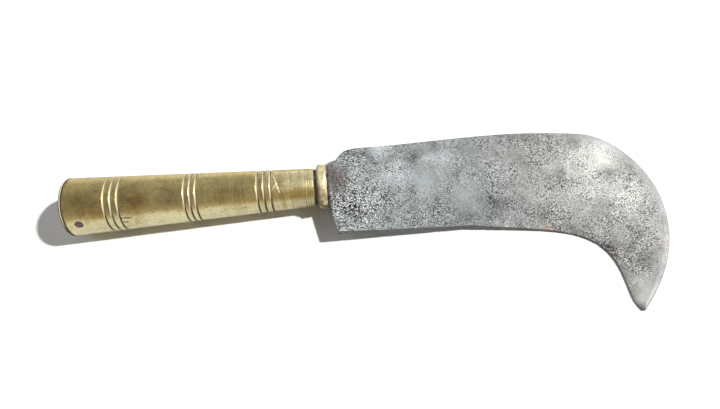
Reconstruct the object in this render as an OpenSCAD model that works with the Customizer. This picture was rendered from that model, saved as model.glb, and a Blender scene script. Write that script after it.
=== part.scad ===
// One-hand billhook with a turned brass handle, lying on its side on a flat surface.
// The handle pieces are drawn along their own axis, which runs in X from the butt.
// laid() then tips them to where they rest: on the butt's rim and on the collar's bead.
// The blade is drawn level, as it lies, with its beak flat on the surface.
// The origin is under the middle of the whole tool. +X runs to the beak, the hook points to -Y.

/* [Handle] */
// Length of the handle from the butt to the collar
grip_len = 135; // [120:1:160]
// Diameter of the handle at the butt
butt_dia = 32.4; // [29:0.2:36]
// Diameter of the handle where it meets the collar
neck_dia = 21.2; // [19.5:0.2:23]
// Wall of the brass sleeve
sleeve_wall = 1.8; // [1.2:0.1:2.4]

/* [Grooves] */
// Distance from the butt to the middle of each band of grooves
band_at = [27, 68.5, 108]; // [15:0.5:120]
// Distance between the grooves of each band
groove_pitch = [3.6, 3.1, 3.6]; // [2.6:0.1:4.2]
// Width of a groove at the surface
groove_w = 1.5; // [0.8:0.1:2]
// Depth of a groove
groove_depth = 0.55; // [0.3:0.05:0.8]
// Number of grooves in each band
groove_count = 3; // [1:1:4]
// Distance from the sleeve's front end to the last of its fine lines
line_from_end = 2.2; // [1.5:0.1:4]
// Distance between the fine lines
line_pitch = 1.3; // [1:0.1:2]
// Width of a fine line at the surface
line_w = 0.5; // [0.3:0.05:0.8]
// Depth of a fine line
line_depth = 0.2; // [0.1:0.05:0.3]
// Number of fine lines
line_count = 3; // [1:1:5]

/* [Collar] */
// Length of the collar's head
collar_len = 7; // [5:0.5:10]
// Diameter of the collar over its bead
collar_dia = 25.2; // [24:0.2:28]
// Width of the groove between the sleeve and the collar's bead
collar_groove_w = 1.5; // [0.5:0.1:2]
// Depth of that groove below the sleeve
collar_groove_depth = 0.7; // [0.2:0.1:1]
// Length of the bead's round shoulder towards the handle
bead_len = 1.75; // [1:0.25:3]
// Width of the chamfer on the collar's front
collar_chamfer = 0.8; // [0.4:0.1:1.5]
// Length of the spigot that goes into the sleeve
collar_spigot_len = 6; // [4:0.5:10]

/* [Butt] */
// Thickness of the butt cap's rim
cap_rim = 1.4; // [1:0.1:2.5]
// Chamfer on the butt cap's outer edge
cap_chamfer = 0.5; // [0.3:0.1:0.8]
// Length of the spigot that goes into the sleeve
cap_spigot_len = 11.5; // [11:0.5:16]
// Distance from the butt to the pin
pin_at = 8.6; // [6:0.2:9]
// Diameter of the pin
pin_dia = 4.4; // [2.4:0.1:5]
// Turn of the pin from upright towards the hook
pin_turn = 72; // [0:1:90]

/* [Tang] */
// Length of the tang behind the collar's front
tang_len = 112; // [90:1:116]
// Width of the tang at the collar
tang_root_w = 15; // [12:0.5:15.5]
// Width of the tang at its end
tang_end_w = 5; // [4:0.5:8]
// Thickness of the tang
tang_t = 4.6; // [3.5:0.1:5]
// Length of the slope from the tang's root to the blade's face
root_len = 6; // [3:0.5:8]

/* [Blade outline] */
// Length of the blade from the collar to the back of the beak
blade_len = 184; // [170:1:200]
// Height of the cutting edge below the handle's axis
edge_drop = 29.5; // [26:0.5:34]
// Height of the spine above the handle's axis behind the shoulder
spine_rise = 27; // [24:0.5:30]
// Distance from the collar to where the spine begins behind the shoulder
spine_from = 24; // [20:1:30]
// Height of the spine above the handle's axis where the nose begins
nose_rise = 27.6; // [24:0.2:30]
// Distance of the nose back from the end of the blade
nose_back = 34; // [30:1:38]
// Height of the shoulder's corner above the handle's axis
shoulder_rise = 16.3; // [14:0.1:18]
// Width of the blade where it leaves the collar
blade_root_w = 25; // [23:0.5:26]
// Distance from the collar to the heel's corner
heel_set = 3.7; // [2:0.1:6]
// Length of the straight part of the cutting edge
straight_len = 72; // [60:1:85]
// Distance of the beak's widest point below the handle's axis
beak_back_drop = 21; // [16:0.5:26]
// Width of the beak at the throat of the hook
beak_w = 35; // [32:0.2:40]
// Distance of the throat below the handle's axis
throat_drop = 64.8; // [60:0.2:70]
// Distance of the tip below the handle's axis
tip_drop = 84.6; // [82:0.2:90]
// Distance of the tip back from the end of the blade
tip_back = 31.2; // [30:0.2:33]

/* [Blade section] */
// Thickness of the spine at the shoulder
spine_t = 4.4; // [3.5:0.1:5.5]
// Thickness of the beak at its back
beak_t = 3; // [2.4:0.1:3.6]
// Thickness of the tip
tip_t = 1.8; // [1.4:0.1:2.2]
// Share of the spine's thickness that is left before the bevel
edge_share = 0.8; // [0.65:0.05:0.95]
// The same share in the hook, where the blade is ground thinner
hook_edge_share = 0.4; // [0.35:0.05:0.8]
// Thickness of the worn cutting edge
edge_t = 0.9; // [0.5:0.1:1.2]
// Width of the bevel on the underside
bevel_w = 5; // [3:0.5:7]
// Width of the dressed rim along the back
back_rim_w = 3; // [1:0.25:4]
// Depth of the dressed rim along the back
back_rim_depth = 0.5; // [0.2:0.05:0.7]
// Height of the blade's middle below the handle's axis at the collar
neck_set = 1.4; // [0:0.1:2]
// Distance from the collar to where the blade begins to lie flat
flat_from = 138; // [120:1:150]

/* [Hidden] */
$fn = 96;

// Gaps: around a spigot or the tang, between the handle's end faces, and collar to blade
fit_gap = 0.1;
seat_gap = 0.05;
face_gap = 0.4;
// How far a cutting shape runs past the surface that it cuts
cut = 1;
// Angle between the points of the bead's round shoulder
bead_step = 15;
// The pin's ends above the handle, their chamfer, and the gap around it
pin_proud = 0.25;
pin_chamfer = 0.3;
pin_fit = 0.05;

butt_r = butt_dia / 2;
neck_r = neck_dia / 2;
bead_r = collar_dia / 2;
taper = (butt_r - neck_r) / grip_len;
collar_front = grip_len + collar_len;

function handle_r(x) = butt_r - taper * x;
function bore_r(x) = handle_r(x) - sleeve_wall;

// The slope at which the butt's rim and the front of the collar's bead both touch the surface
rim_r = handle_r(cap_chamfer);
bead_end = collar_front - collar_chamfer;
lay_slope = atan((rim_r - bead_r) / (bead_end - cap_chamfer));
butt_height = rim_r * cos(lay_slope) + cap_chamfer * sin(lay_slope);
neck_x = collar_front * cos(lay_slope) + face_gap;
neck_height = butt_height - collar_front * sin(lay_slope);

// Points along a straight line or a cubic curve, without its first point
// The curve leaves a towards a + pull[0] and comes to b from b + pull[1]
function curve_at(p, t) =
    pow(1 - t, 3) * p[0] + 3 * t * pow(1 - t, 2) * p[1] + 3 * t * t * (1 - t) * p[2] + pow(t, 3) * p[3];
function curve(a, pull, b, steps) =
    [for (i = [1:steps]) curve_at([a, a + pull[0], b + pull[1], b], i / steps)];
function straight(a, b, steps) = [for (i = [1:steps]) a + (b - a) * i / steps];

// Corners that the outline's curves run between, from the collar's front face
shoulder = [4, shoulder_rise];
spine_start = [spine_from, spine_rise];
nose = [blade_len - nose_back, nose_rise];
back = [blade_len, -beak_back_drop];
heel = [heel_set, -edge_drop];
edge_end = [heel_set + straight_len, -edge_drop];
throat = [blade_len - beak_w, -throat_drop];
tip = [blade_len - tip_back, -tip_drop];
tip_back_side = tip + [3, 2.4];
tip_half = 0.6;

// How far each curve of the outline is pulled straight on from its two corners
shoulder_pull = [[5.5, 8.7], [-14, -0.8]];
spine_pull = [[42, 2.6], [-44, 8.4]];
nose_pull = [[18, -1.6], [0, 24]];
beak_pull = [[0, -25], [16.5, 16.5]];
tip_pull = [[-1.6, -1.6], [0.8, 0.2]];
hook_pull = [[45, -6.4], [-2.6, 30.4]];
throat_pull = [[0.8, -12.6], [-3.5, 5.8]];

// Steps between the ribs of each stretch: the two sides have as many ribs
shoulder_steps = 5;
spine_steps = 14;
nose_steps = 10;
back_steps = 12;
tip_steps = 4;
straight_steps = 12;
tip_side_steps = 7;
hook_steps = shoulder_steps + spine_steps + nose_steps + back_steps + tip_steps
    - straight_steps - tip_side_steps;

// How far the root's middle stands off the handle's axis, and its lower side off the collar
root_rise = 1;
root_set = 0.2;

// The blade's back, from the collar over the shoulder and the nose to the tip
back_line = concat(
    [[0, root_rise + blade_root_w / 2], shoulder],
    curve(shoulder, shoulder_pull, spine_start, shoulder_steps),
    curve(spine_start, spine_pull, nose, spine_steps),
    curve(nose, nose_pull, back, nose_steps),
    curve(back, beak_pull, tip_back_side, back_steps),
    curve(tip_back_side, tip_pull, tip + [tip_half, 0], tip_steps));
// The cutting edge, from the collar past the heel and the throat to the tip
edge_line = concat(
    [[root_set, root_rise - blade_root_w / 2], heel],
    straight(heel, edge_end, straight_steps),
    curve(edge_end, hook_pull, throat, hook_steps),
    curve(throat, throat_pull, tip - [tip_half, 0], tip_side_steps));
rib_count = len(back_line);
straight_ribs = 2 + straight_steps;

// Height of the blade's underside above the surface: level beyond flat_from
root_lift = neck_height - neck_set - spine_t / 2;
function lift(x) = x < flat_from ? root_lift * pow((flat_from - x) / flat_from, 2) : 0;

// Thickness at the back, how much of the bevel and of the back's rim there is at each rib,
// and the share of the thickness that is left before the bevel
nose_rib = 2 + shoulder_steps + spine_steps;
bevel_grow_ribs = 5;
thinning_ribs = 12;
rim_grow_ribs = 10;
rim_least_share = 0.2;
function back_t(i) = i < nose_rib
    ? spine_t + (beak_t - spine_t) * i / nose_rib
    : beak_t + (tip_t - beak_t) * (i - nose_rib) / (rib_count - 1 - nose_rib);
function bevel_share(i) = max(0, min(1, (i - 2) / bevel_grow_ribs));
function edge_share_at(i) =
    edge_share + (hook_edge_share - edge_share) * max(0, min(1, (i - straight_ribs) / thinning_ribs));
function rim_share(i) = max(rim_least_share, min(1, (i - straight_ribs) / rim_grow_ribs));

// What is left of the rim's depth at its inner side, the height of the chamfer under the back,
// and the least width of the bevel as a share of the blade's width
rim_inner_share = 0.1;
under_chamfer = 0.3;
least_bevel_share = 0.02;
section_points = 7;

// One rib: the section between a point on the back and a point on the edge
function rib(i) = let (
        b = back_line[i],
        e = edge_line[i],
        w = norm(e - b),
        dir = (e - b) / w,
        t = back_t(i),
        thin = t * edge_share_at(i),
        rim_w = min(back_rim_w * rim_share(i), w / 4),
        rim_d = back_rim_depth * rim_share(i),
        bev = min(bevel_w, w / 2) * bevel_share(i),
        left = thin - max(0, thin - edge_t) * bevel_share(i),
        across = [0, rim_w, w, w, w - max(bev, w * least_bevel_share), rim_w, 0],
        high = [t - rim_d, t - rim_d * rim_inner_share, thin, thin - left, 0, 0, under_chamfer]
    ) [for (k = [0:section_points - 1])
        let (p = b + dir * across[k]) [neck_x + p.x, p.y, lift(p.x) + high[k]]];

// The ends of the whole tool in X and Y
x_lo = -(butt_r - cap_chamfer) * sin(lay_slope);
x_hi = neck_x + max([for (p = back_line) p.x]);
y_lo = min([for (p = edge_line) p.y]);
y_hi = max([for (p = back_line) p.y]);
mid = [(x_lo + x_hi) / 2, (y_lo + y_hi) / 2, 0];

// Puts a piece drawn level, with the butt at X = 0, over the origin
module centred() {
    translate(-mid) children();
}

// Puts a piece drawn along the handle's axis to where it rests
module laid() {
    centred() translate([0, 0, butt_height]) rotate([0, lay_slope, 0]) children();
}

// Turns an outline of [distance from the butt, radius] points about the handle's axis
module turned(outline) {
    rotate([0, 90, 0]) rotate_extrude() polygon([for (p = outline) [p[1], p[0]]]);
}

// A V groove at x, cut into the sleeve's outside
module groove(x, w, depth) {
    r = handle_r(x);
    turned([
        [x - w / 2, handle_r(x - w / 2)],
        [x, r - depth],
        [x + w / 2, handle_r(x + w / 2)],
        [x + w / 2, r + cut],
        [x - w / 2, r + cut]
    ]);
}

// A round bar across the handle, where the pin goes, with chamfered ends
module pin_bar(r, half_len, chamfer) {
    translate([pin_at, 0, 0]) rotate([pin_turn, 0, 0]) rotate_extrude() polygon([
        [0, -half_len],
        [r - chamfer, -half_len],
        [r, chamfer - half_len],
        [r, half_len - chamfer],
        [r - chamfer, half_len],
        [0, half_len]
    ]);
}

// The hole for the pin, right across the handle
module pin_hole() {
    translate([pin_at, 0, 0]) rotate([pin_turn, 0, 0])
        cylinder(r = pin_dia / 2 + pin_fit, h = butt_dia + 2 * cut, center = true);
}

// The tang: a bar that narrows towards the butt, from from_x to its end, wider by extra
module tang_bar(extra, front_x) {
    end_x = collar_front - tang_len - extra;
    linear_extrude(height = tang_t + 2 * extra, center = true) polygon([
        [end_x, -tang_end_w / 2 - extra],
        [collar_front, -tang_root_w / 2 - extra],
        [front_x, -tang_root_w / 2 - extra],
        [front_x, tang_root_w / 2 + extra],
        [collar_front, tang_root_w / 2 + extra],
        [end_x, tang_end_w / 2 + extra]
    ]);
}

// The tang's root, which slopes down into the blade in front of the collar
module tang_root() {
    rotate([90, 0, 0]) linear_extrude(height = tang_root_w, center = true) polygon([
        [grip_len, -tang_t / 2],
        [collar_front + face_gap, -tang_t / 2],
        [collar_front + root_len, -neck_set],
        [collar_front + face_gap, tang_t / 2],
        [grip_len, tang_t / 2]
    ]);
}

// The blade's body: ribs joined by triangles, with a flat cap at each end
module blade_body() {
    ribs = [for (i = [0:rib_count - 1]) rib(i)];
    s = section_points;
    last = (rib_count - 1) * s;
    polyhedron(
        points = [for (r = ribs) each r],
        faces = concat(
            [[for (k = [0:s - 1]) k]],
            [[for (k = [0:s - 1]) last + s - 1 - k]],
            [for (i = [0:rib_count - 2], k = [0:s - 1]) let (a = i * s, n = (k + 1) % s) each [
                [a + k, a + s + n, a + n],
                [a + k, a + s + k, a + s + n]
            ]]));
}

module blade() {
    color([0.56, 0.57, 0.56]) union() {
        centred() blade_body();
        laid() tang_bar(0, collar_front);
        laid() tang_root();
    }
}

module collar() {
    spigot_back = grip_len - collar_spigot_len;
    spigot_r = bore_r(grip_len) - fit_gap;
    groove_r = neck_r - collar_groove_depth;
    bead_x = grip_len + collar_groove_w;
    color([0.75, 0.66, 0.34]) laid() difference() {
        union() {
            turned([
                [grip_len, 0],
                [grip_len, groove_r],
                for (a = [0:bead_step:90])
                    [bead_x + bead_len * (1 - cos(a)), groove_r + (bead_r - groove_r) * sin(a)],
                [collar_front - collar_chamfer, bead_r],
                [collar_front, bead_r - collar_chamfer],
                [collar_front, 0]
            ]);
            turned([[spigot_back, 0], [spigot_back, spigot_r], [grip_len + cut, spigot_r], [grip_len + cut, 0]]);
        }
        tang_bar(fit_gap, collar_front + cut);
    }
}

module handle_sleeve() {
    back_x = cap_rim + seat_gap;
    front_x = grip_len - seat_gap;
    color([0.66, 0.58, 0.3]) laid() difference() {
        turned([
            [back_x, bore_r(back_x)],
            [back_x, handle_r(back_x)],
            [front_x, handle_r(front_x)],
            [front_x, bore_r(front_x)]
        ]);
        for (b = [0:len(band_at) - 1], g = [0:groove_count - 1])
            groove(band_at[b] + (g - (groove_count - 1) / 2) * groove_pitch[b], groove_w, groove_depth);
        for (g = [0:line_count - 1])
            groove(grip_len - line_from_end - g * line_pitch, line_w, line_depth);
        pin_hole();
    }
}

module handle_core() {
    back_x = cap_spigot_len + cap_rim + seat_gap;
    front_x = grip_len - collar_spigot_len - seat_gap;
    color([0.5, 0.36, 0.22]) laid() difference() {
        turned([
            [back_x, 0],
            [back_x, bore_r(back_x) - fit_gap],
            [front_x, bore_r(front_x) - fit_gap],
            [front_x, 0]
        ]);
        tang_bar(fit_gap, grip_len);
    }
}

module butt_cap() {
    spigot_front = cap_rim + cap_spigot_len;
    color([0.66, 0.58, 0.3]) laid() difference() {
        turned([
            [0, 0],
            [0, butt_r - cap_chamfer],
            [cap_chamfer, rim_r],
            [cap_rim, handle_r(cap_rim)],
            [cap_rim, bore_r(cap_rim) - fit_gap],
            [spigot_front, bore_r(spigot_front) - fit_gap],
            [spigot_front, 0]
        ]);
        pin_hole();
    }
}

module butt_pin() {
    color([0.3, 0.28, 0.27]) laid()
        pin_bar(pin_dia / 2, handle_r(pin_at) + pin_proud, pin_chamfer);
}

blade();
collar();
handle_sleeve();
handle_core();
butt_cap();
butt_pin();
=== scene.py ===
"""An old one-hand billhook on a white table: pitted steel blade, turned brass handle.

Sizes are in millimetres, as in the CAD. Two frames are used for them:
the handle's frame, with x along its axis from the butt and an angle from the top towards the hook,
and the blade's frame, with x from the collar, y from the handle's axis and z from the table.
Everything is placed in the frame's metres when its mesh is made.
"""

import math

import bpy
import numpy as np
from mathutils import Matrix, Vector


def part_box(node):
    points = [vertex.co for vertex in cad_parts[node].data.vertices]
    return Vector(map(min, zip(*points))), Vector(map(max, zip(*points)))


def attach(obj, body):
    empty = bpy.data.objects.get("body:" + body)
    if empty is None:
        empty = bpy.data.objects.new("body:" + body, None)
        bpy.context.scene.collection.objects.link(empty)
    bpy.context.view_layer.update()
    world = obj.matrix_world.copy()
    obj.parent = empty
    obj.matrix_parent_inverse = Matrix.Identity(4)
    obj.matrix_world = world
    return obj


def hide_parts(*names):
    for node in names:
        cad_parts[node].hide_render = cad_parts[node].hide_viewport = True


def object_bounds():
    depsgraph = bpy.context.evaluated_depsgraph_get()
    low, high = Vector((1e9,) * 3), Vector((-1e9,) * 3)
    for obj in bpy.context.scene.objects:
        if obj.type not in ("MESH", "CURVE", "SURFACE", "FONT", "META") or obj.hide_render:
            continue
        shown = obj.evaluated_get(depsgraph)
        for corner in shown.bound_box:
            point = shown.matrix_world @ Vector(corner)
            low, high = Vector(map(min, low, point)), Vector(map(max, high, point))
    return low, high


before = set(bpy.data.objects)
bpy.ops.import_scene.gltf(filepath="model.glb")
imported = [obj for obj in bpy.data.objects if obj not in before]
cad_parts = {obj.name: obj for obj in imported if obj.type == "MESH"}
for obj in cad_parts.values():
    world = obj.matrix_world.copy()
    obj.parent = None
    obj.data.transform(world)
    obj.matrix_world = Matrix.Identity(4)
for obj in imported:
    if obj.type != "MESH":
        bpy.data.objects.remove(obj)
cad_box = [list(corner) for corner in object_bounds()]

MM = 0.001

# Handle
GRIP_LEN = 135
BUTT_R = 16.2
NECK_R = 10.6
SLEEVE_WALL = 1.8
BAND_AT = (27, 68.5, 108)
GROOVE_PITCH = (3.6, 3.1, 3.6)
GROOVE_W = 1.4
GROOVE_DEPTH = 0.55
LINE_AT = (130.2, 131.5, 132.8)
LINE_W = 0.6
LINE_DEPTH = 0.05
SEAT_GAP = 0.05

# Collar
COLLAR_LEN = 7
COLLAR_GROOVE_W = 1.5
COLLAR_GROOVE_DEPTH = 0.7
BEAD_R = 12.6
BEAD_LEN = 1.75
COLLAR_CHAMFER = 0.8
SPIGOT_LEN = 6

# Butt
CAP_RIM = 1.4
CAP_CHAMFER = 0.5
CAP_SPIGOT_LEN = 11.5
PIN_AT = 8.6
PIN_R = 2.2
PIN_TURN = 72
PIN_PROUD = 0.25

# Tang
TANG_LEN = 112
TANG_ROOT_W = 15
TANG_END_W = 5
TANG_T = 4.6
ROOT_LEN = 6
FACE_GAP = 0.4

# Blade outline
BLADE_LEN = 184
EDGE_DROP = 29.5
SPINE_RISE = 27
SPINE_FROM = 24
NOSE_RISE = 27.6
NOSE_BACK = 34
SHOULDER = (4, 16.3)
BLADE_ROOT_W = 25
HEEL_SET = 3.7
STRAIGHT_LEN = 72
BEAK_BACK_DROP = 21
BEAK_W = 35
THROAT_DROP = 64.8
TIP_DROP = 84.6
TIP_BACK = 31.2
TIP_HALF = 0.6

# Blade section
SPINE_T = 4.4
BEAK_T = 3
TIP_T = 1.8
EDGE_SHARE = 0.8
HOOK_EDGE_SHARE = 0.4
EDGE_T = 0.9
BEVEL_W = 5
RIM_W = 3
RIM_DEPTH = 0.35
NECK_SET = 1.4
FLAT_FROM = 138

# Worked out from the sizes above, as in the CAD
COLLAR_FRONT = GRIP_LEN + COLLAR_LEN
TAPER = (BUTT_R - NECK_R) / GRIP_LEN


def handle_r(x):
    """Radius of the handle at x."""
    return BUTT_R - TAPER * x


def bore_r(x):
    """Radius of the sleeve's bore at x."""
    return handle_r(x) - SLEEVE_WALL


RIM_R = handle_r(CAP_CHAMFER)
BEAD_END = COLLAR_FRONT - COLLAR_CHAMFER
LAY_SLOPE = math.atan((RIM_R - BEAD_R) / (BEAD_END - CAP_CHAMFER))
BUTT_HEIGHT = RIM_R * math.cos(LAY_SLOPE) + CAP_CHAMFER * math.sin(LAY_SLOPE)
NECK_X = COLLAR_FRONT * math.cos(LAY_SLOPE) + FACE_GAP
NECK_HEIGHT = BUTT_HEIGHT - COLLAR_FRONT * math.sin(LAY_SLOPE)
ROOT_LIFT = NECK_HEIGHT - NECK_SET - SPINE_T / 2


def lift(x):
    """Height of the blade's underside over the table."""
    return np.where(x < FLAT_FROM, ROOT_LIFT * np.clip((FLAT_FROM - x) / FLAT_FROM, 0, None) ** 2, 0)


# The middle of the butt's face in the row's frame, from the frame's own boxes
cap_low, cap_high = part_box("butt_cap")
BUTT_X = cad_box[0][0] / MM + (BUTT_R - CAP_CHAMFER) * math.sin(LAY_SLOPE)
AXIS_Y = (cap_low[1] + cap_high[1]) / 2 / MM
BUTT = np.array([BUTT_X, AXIS_Y, BUTT_HEIGHT])
ALONG = np.array([math.cos(LAY_SLOPE), 0, -math.sin(LAY_SLOPE)])
UP = np.array([math.sin(LAY_SLOPE), 0, math.cos(LAY_SLOPE)])
HOOKWARD = np.array([0, -1, 0])
BLADE_ORIGIN = np.array([BUTT_X + NECK_X, AXIS_Y, 0])


# Smooth random numbers

def noise(points, size, seed):
    """Smooth noise from -1 to 1 at rows of x, y, z, with lumps about size apart."""
    table = np.random.default_rng(seed).uniform(-1, 1, (32, 32, 32))
    q = np.asarray(points, float) / size
    cell = np.floor(q).astype(int)
    part = q - cell
    part = part * part * (3 - 2 * part)
    total = 0
    for corner in np.ndindex(2, 2, 2):
        i = (cell + corner) % 32
        weight = np.prod(np.where(corner, part, 1 - part), axis=-1)
        total = total + table[i[..., 0], i[..., 1], i[..., 2]] * weight
    return total


def rough(points, size, seed):
    """Noise with two finer and fainter layers added."""
    total = 0
    for layer in range(3):
        total = total + noise(points, size / 2**layer, seed + layer) / 2**layer
    return total / 1.5


def hump(distance, width):
    """A smooth hump, 1 at no distance and 0 from width on."""
    t = np.clip(1 - np.abs(distance) / width, 0, 1)
    return t * t * (3 - 2 * t)


# Meshes

def new_object(name, data):
    """An object in the scene."""
    made = bpy.data.objects.new(name, data)
    bpy.context.scene.collection.objects.link(made)
    return made


def finish_mesh(name, points, faces, attributes, material, slot, replaces=()):
    """A smooth mesh object from points in the row's millimetres."""
    mesh = bpy.data.meshes.new(name)
    mesh.from_pydata((np.asarray(points) * MM).tolist(), [], faces)
    for key, values in attributes.items():
        layer = mesh.attributes.new(key, "FLOAT", "POINT")
        layer.data.foreach_set("value", np.asarray(values, dtype=np.float32).ravel())
    mesh.validate()
    mesh.polygons.foreach_set("use_smooth", [True] * len(mesh.polygons))
    mesh.set_sharp_from_angle(angle=math.radians(50))
    mesh.materials.append(material)
    piece = new_object(name, mesh)
    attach(piece, "root")
    if replaces:
        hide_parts(*replaces)
    return piece


def band(start_a, start_b, count):
    """Quads between two runs of points that are joined round."""
    return [
        (start_a + k, start_a + (k + 1) % count, start_b + (k + 1) % count, start_b + k)
        for k in range(count)
    ]


def skin(runs, count, flip=False):
    """Quads between each of so many runs of points and the next."""
    faces = []
    for i in range(runs - 1):
        here, there = i * count, (i + 1) * count
        faces += band(there, here, count) if flip else band(here, there, count)
    return faces


def capped(runs, count, flip=False):
    """The skin with fans at both ends, to two middle points that come after the runs."""
    faces = skin(runs, count, flip)
    for middle, start, inward in ((0, 0, not flip), (1, (runs - 1) * count, flip)):
        fan = [(runs * count + middle, start + k, start + (k + 1) % count) for k in range(count)]
        faces += [face[::-1] for face in fan] if inward else fan
    return faces


SEGMENTS = 288
CUT_AND_HIGHLIGHT_SHOWN = 1.6


def handle_points(x, r, angle):
    """Points of the handle's frame in the row's millimetres."""
    parts = np.broadcast_arrays(x, r * np.cos(angle), r * np.sin(angle))
    along, up, side = (part[..., None] for part in parts)
    return BUTT + along * ALONG + up * UP + side * HOOKWARD


def turn_from(angle, degrees):
    """How far the angle is round from so many degrees, from -pi to pi."""
    return (angle - math.radians(degrees) + math.pi) % (2 * math.pi) - math.pi


def humps(places, x, r, angle):
    """Round humps, or hollows where the height is below 0, as (x, degrees, radius, height)."""
    total = 0
    for hump_x, degrees, radius, height in places:
        total = total + height * hump(np.hypot(x - hump_x, turn_from(angle, degrees) * r), radius)
    return total


def turned(name, profile, paint, replaces, wobble, dirt_and_shade, push=None, cuts_and_highlight=None, segments=SEGMENTS):
    """A turned piece: profile holds rows of x and radius, from axis to axis or as a closed ring.

    wobble gives what is added to the radius, dirt_and_shade how dirty it is and where shade is painted,
    push what is added to x, and cuts_and_highlight how deep it is scratched and, on the cap, where a
    highlight is painted, each at x, radius and angle. paint is the material and its slot.
    """
    profile = np.asarray(profile, float)
    on_axis = profile[0, 1] == 0
    ring = profile[1:-1] if on_axis else profile
    angle = np.arange(segments) * 2 * math.pi / segments
    x = np.repeat(ring[:, :1], segments, axis=1)
    r = np.repeat(ring[:, 1:], segments, axis=1)
    a = np.repeat(angle[None, :], len(ring), axis=0)
    x2 = x + (push(x, r, a) if push else 0)
    points = handle_points(x2, r + wobble(x, r, a), a).reshape(-1, 3)
    attributes = {
        "along": x2,
        # Depth of the grooves and scratches, and on the cap the stretch of its rim that gets a painted
        # highlight
        "sunk_and_highlit": handle_r(x) - r + (CUT_AND_HIGHLIGHT_SHOWN * cuts_and_highlight(x, r, a) if cuts_and_highlight else 0),
        "dirt_and_shade": dirt_and_shade(x, r, a),
        "up": np.cos(a),
    }
    if on_axis:
        ends = handle_points(profile[[0, -1], 0], np.zeros(2), np.zeros(2))
        faces = capped(len(ring), segments, flip=True)
        points = np.vstack([points, ends])
        attributes = {key: np.append(values, [0, 0]) for key, values in attributes.items()}
        attributes["along"][-2:] = profile[[0, -1], 0]
    else:
        faces = skin(len(ring), segments, flip=True)
        faces += band(0, len(points) - segments, segments)
    return finish_mesh(name, points, faces, attributes, *paint, replaces)


# Shader nodes

class Nodes:
    """A node tree whose nodes are made one call at a time; most calls give the socket they make."""

    def __init__(self, tree):
        tree.nodes.clear()
        self.tree = tree

    def put(self, socket, value):
        """Links value to the socket if it is a socket, and else sets it."""
        if isinstance(value, bpy.types.NodeSocket):
            self.tree.links.new(value, socket)
        elif value is not None:
            if isinstance(value, tuple) and len(value) == 3 and len(socket.default_value) == 4:
                value = (*value, 1)
            socket.default_value = value

    def node(self, kind, *values, operation=None, **named):
        """A new node; its first inputs get the values in turn, and others get theirs by name."""
        node = self.tree.nodes.new("ShaderNode" + kind)
        if operation:
            node.operation = operation
        for socket, value in zip(node.inputs, values):
            self.put(socket, value)
        for name, value in named.items():
            if value is not None:
                self.put(node.inputs[name], value)
        return node

    def vector(self, operation, a, b=None, scale=None, result=0):
        return self.node("VectorMath", a, b, operation=operation, Scale=scale).outputs[result]

    def math(self, operation, a, b):
        return self.node("Math", a, b, operation=operation).outputs[0]

    def add(self, a, b):
        return self.math("ADD", a, b)

    def times(self, product, *factors):
        for factor in factors:
            product = self.math("MULTIPLY", product, factor)
        return product

    def fit(self, value, low, high, to_low=0.0, to_high=1.0, smooth=True):
        """value taken from low..high to to_low..to_high, and held there."""
        node = self.node("MapRange", value, low, high, to_low, to_high)
        node.interpolation_type = "SMOOTHSTEP" if smooth else "LINEAR"
        node.clamp = True
        return node.outputs[0]

    def mix(self, share, a, b, blend="MIX"):
        node = self.node("Mix")
        node.data_type = "RGBA"
        node.blend_type = blend
        for index, value in ((0, share), (6, a), (7, b)):
            self.put(node.inputs[index], value)
        return node.outputs[2]

    def over(self, base, *layers):
        """Layers over the base, each a colour and the shares whose product it covers by."""
        for colour, *shares in layers:
            base = self.mix(self.times(*shares), base, colour)
        return base


class Shader(Nodes):
    """A material's nodes, with places in the row's millimetres."""

    def __init__(self, name):
        self.material = bpy.data.materials.new(name)
        self.material.use_nodes = True
        super().__init__(self.material.node_tree)
        self.surface = self.node("BsdfPrincipled")
        self.node("OutputMaterial", Surface=self.surface.outputs[0])
        place = self.node("TexCoord").outputs["Object"]
        self.place = self.vector("SCALE", place, scale=1 / MM)

    def attribute(self, name):
        node = self.node("Attribute")
        node.attribute_name = name
        return node.outputs["Fac"]

    def noise(self, size, detail, roughness, stretch=None, distortion=0.0):
        """Noise with lumps about size millimetres apart, drawn out by stretch; middle 0.5."""
        node = self.node(
            "TexNoise", Scale=1 / size, Detail=detail, Roughness=roughness, Distortion=distortion,
            Vector=self.vector("DIVIDE", self.place, stretch) if stretch else self.place
        )
        return node.outputs[0]

    def cells(self, size):
        """Distance to the nearest of random points about size millimetres apart, and their colour."""
        node = self.node("TexVoronoi", Vector=self.place, Scale=1 / size)
        return node.outputs["Distance"], node.outputs["Color"]

    def ragged(self, size, amount):
        """Places shifted by noise, so that what is laid out in them gets ragged edges."""
        node = self.node("TexNoise", Vector=self.place, Scale=1 / size, Detail=3.0)
        shift = self.vector("SUBTRACT", node.outputs["Color"], (0.5, 0.5, 0.5))
        return self.vector("ADD", self.place, self.vector("SCALE", shift, scale=amount * 2))

    def spot(self, centre, radius, soft, place=None):
        """1 inside a round spot of the row's frame, in millimetres, and 0 outside."""
        away = self.vector("DISTANCE", place or self.place, tuple(centre), result="Value")
        return self.fit(away, radius * (1 - soft), radius, 1, 0)

    def bump(self, height, distance, strength=1.0, normal=None):
        """A bump whose height of 1 stands distance millimetres proud."""
        node = self.node("Bump", Height=height, Distance=distance * MM, Strength=strength, Normal=normal)
        return node.outputs[0]

    def set(self, **values):
        """Sets or links the surface's inputs, and gives the material."""
        for key, value in values.items():
            self.put(self.surface.inputs[key.replace("_", " ")], value)
        return self.material


# Steel of the blade

def blade_place(x, y):
    """A place on the blade's upper face, in the row's millimetres."""
    return BLADE_ORIGIN + np.array([x, y, lift(x) + BEAK_T])


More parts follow.
